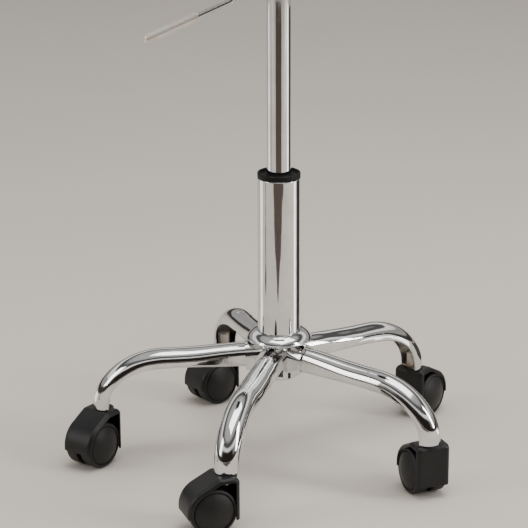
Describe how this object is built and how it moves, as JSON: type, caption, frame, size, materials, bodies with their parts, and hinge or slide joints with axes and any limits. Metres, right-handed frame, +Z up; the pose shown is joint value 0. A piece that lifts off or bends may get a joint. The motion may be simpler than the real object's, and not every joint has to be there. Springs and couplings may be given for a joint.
{
  "type": "swivel stool pedestal",
  "caption": "Rolling star-base pedestal with a telescopic gas-lift column, a side release lever and a drilled seat plate on top.",
  "frame": {"origin": "on the column axis at floor level, where the wheels touch the floor", "axes": "+Z up along the column, -X towards the release lever, -Y the front, +Y away from it"},
  "size_m": [0.4686, 0.4581, 0.627],
  "materials": {
    "chrome_legs": "bright chrome plate, slightly wavy",
    "chrome_hub": "bright chrome plate on a cast hub",
    "chrome_column": "bright chrome plate on a straight tube",
    "chrome_rod": "polished hard chrome",
    "caster_hood": "black satin nylon",
    "caster_wheel": "black satin nylon with a turned groove",
    "weld_steel": "bare plated steel with weld tint",
    "pin_steel": "zinc-plated steel",
    "black_bushing": "black acetal",
    "rubber": "black rubber",
    "black_steel": "black powder coat",
    "lever_rod": "bright bent wire rod",
    "lever_grip": "light satin plastic sleeve",
    "lift_parts": "machined alloy"
  },
  "bodies": {
    "base": {"hub": "chrome_hub", "column_tube": "chrome_column", "foot_cap": "chrome_column", "guide_bushing": "black_bushing", "bearing_lower_race": "pin_steel", "bearing_balls": "pin_steel", "leg_1": "chrome_legs", "leg_2": "chrome_legs", "leg_3": "chrome_legs", "leg_4": "chrome_legs", "leg_5": "chrome_legs", "stem_socket_1": "weld_steel", "stem_socket_2": "weld_steel", "stem_socket_3": "weld_steel", "stem_socket_4": "weld_steel", "stem_socket_5": "weld_steel"},
    "gas_rod": {"bearing_upper_race": "pin_steel", "piston_rod": "pin_steel", "rod_clip": "pin_steel", "bump_stop": "rubber", "piston": "lift_parts", "piston_seal": "rubber"},
    "seat_carrier": {"pressure_tube": "chrome_rod", "rod_guide": "lift_parts", "valve_body": "lift_parts", "taper_socket": "black_steel", "mechanism_channel": "black_steel", "seat_plate": "black_steel", "lever_pin": "pin_steel"},
    "release_lever": {"lever_rod": "lever_rod", "lever_grip": "lever_grip"},
    "release_pin": {"release_button": "pin_steel"},
    "caster_1": {"caster_hood_1": "caster_hood", "caster_stem_1": "pin_steel", "caster_axle_1": "pin_steel"},
    "wheel_left_1": {"wheel_left_1": "caster_wheel"},
    "wheel_right_1": {"wheel_right_1": "caster_wheel"},
    "caster_2": {"caster_hood_2": "caster_hood", "caster_stem_2": "pin_steel", "caster_axle_2": "pin_steel"},
    "wheel_left_2": {"wheel_left_2": "caster_wheel"},
    "wheel_right_2": {"wheel_right_2": "caster_wheel"},
    "caster_3": {"caster_hood_3": "caster_hood", "caster_stem_3": "pin_steel", "caster_axle_3": "pin_steel"},
    "wheel_left_3": {"wheel_left_3": "caster_wheel"},
    "wheel_right_3": {"wheel_right_3": "caster_wheel"},
    "caster_4": {"caster_hood_4": "caster_hood", "caster_stem_4": "pin_steel", "caster_axle_4": "pin_steel"},
    "wheel_left_4": {"wheel_left_4": "caster_wheel"},
    "wheel_right_4": {"wheel_right_4": "caster_wheel"},
    "caster_5": {"caster_hood_5": "caster_hood", "caster_stem_5": "pin_steel", "caster_axle_5": "pin_steel"},
    "wheel_left_5": {"wheel_left_5": "caster_wheel"},
    "wheel_right_5": {"wheel_right_5": "caster_wheel"}
  },
  "joints": [
    {"name": "seat_swivel", "type": "hinge", "parent": "base", "child": "gas_rod", "pos_m": [0, 0, 0.115], "axis": [0, 0, 1], "continuous": true},
    {"name": "seat_lift", "type": "slide", "parent": "gas_rod", "child": "seat_carrier", "axis": [0, 0, 1], "range_m": [-0.16, 0], "stiffness_N_per_m": 60, "springref_m": 0.6},
    {"name": "lever_pull", "type": "hinge", "parent": "seat_carrier", "child": "release_lever", "pos_m": [-0.036, 0, 0.61815], "axis": [0, 1, 0], "range_deg": [0, 6], "stiffness_Nm_per_rad": 0.6, "springref_deg": -11.46},
    {"name": "pin_travel", "type": "slide", "parent": "seat_carrier", "child": "release_pin", "axis": [0, 0, 1], "range_m": [-0.0047, 0], "stiffness_N_per_m": 200, "springref_m": 0.003},
    {"name": "caster_swivel_1", "type": "hinge", "parent": "base", "child": "caster_1", "pos_m": [0.17303, -0.11847, 0.06], "axis": [0, 0, 1], "continuous": true},
    {"name": "wheel_left_spin_1", "type": "hinge", "parent": "caster_1", "child": "wheel_left_1", "pos_m": [0.16553, -0.09993, 0.0275], "axis": [-0.9272, -0.3746, 0], "continuous": true},
    {"name": "wheel_right_spin_1", "type": "hinge", "parent": "caster_1", "child": "wheel_right_1", "pos_m": [0.16553, -0.09993, 0.0275], "axis": [-0.9272, -0.3746, 0], "continuous": true},
    {"name": "caster_swivel_2", "type": "hinge", "parent": "base", "child": "caster_2", "pos_m": [0.16614, 0.12795, 0.06], "axis": [0, 0, 1], "continuous": true},
    {"name": "wheel_left_spin_2", "type": "hinge", "parent": "caster_2", "child": "wheel_left_2", "pos_m": [0.1779, 0.14413, 0.0275], "axis": [-0.809, 0.5878, 0], "continuous": true},
    {"name": "wheel_right_spin_2", "type": "hinge", "parent": "caster_2", "child": "wheel_right_2", "pos_m": [0.1779, 0.14413, 0.0275], "axis": [-0.809, 0.5878, 0], "continuous": true},
    {"name": "caster_swivel_3", "type": "hinge", "parent": "base", "child": "caster_3", "pos_m": [-0.07034, 0.19755, 0.06], "axis": [0, 0, 1], "continuous": true},
    {"name": "wheel_left_spin_3", "type": "hinge", "parent": "caster_3", "child": "wheel_left_3", "pos_m": [-0.08567, 0.18469, 0.0275], "axis": [0.6428, -0.766, 0], "continuous": true},
    {"name": "wheel_right_spin_3", "type": "hinge", "parent": "caster_3", "child": "wheel_right_3", "pos_m": [-0.08567, 0.18469, 0.0275], "axis": [0.6428, -0.766, 0], "continuous": true},
    {"name": "caster_swivel_4", "type": "hinge", "parent": "base", "child": "caster_4", "pos_m": [-0.20962, -0.00585, 0.06], "axis": [0, 0, 1], "continuous": true},
    {"name": "wheel_left_spin_4", "type": "hinge", "parent": "caster_4", "child": "wheel_left_4", "pos_m": [-0.22137, -0.02204, 0.0275], "axis": [0.809, -0.5878, 0], "continuous": true},
    {"name": "wheel_right_spin_4", "type": "hinge", "parent": "caster_4", "child": "wheel_right_4", "pos_m": [-0.22137, -0.02204, 0.0275], "axis": [0.809, -0.5878, 0], "continuous": true},
    {"name": "caster_swivel_5", "type": "hinge", "parent": "base", "child": "caster_5", "pos_m": [-0.05921, -0.20117, 0.06], "axis": [0, 0, 1], "continuous": true},
    {"name": "wheel_left_spin_5", "type": "hinge", "parent": "caster_5", "child": "wheel_left_5", "pos_m": [-0.078, -0.20801, 0.0275], "axis": [0.342, -0.9397, 0], "continuous": true},
    {"name": "wheel_right_spin_5", "type": "hinge", "parent": "caster_5", "child": "wheel_right_5", "pos_m": [-0.078, -0.20801, 0.0275], "axis": [0.342, -0.9397, 0], "continuous": true}
  ],
  "couplings": [
    {"joint": "pin_travel", "follows": "lever_pull", "m_per_rad": -0.042}
  ]
}
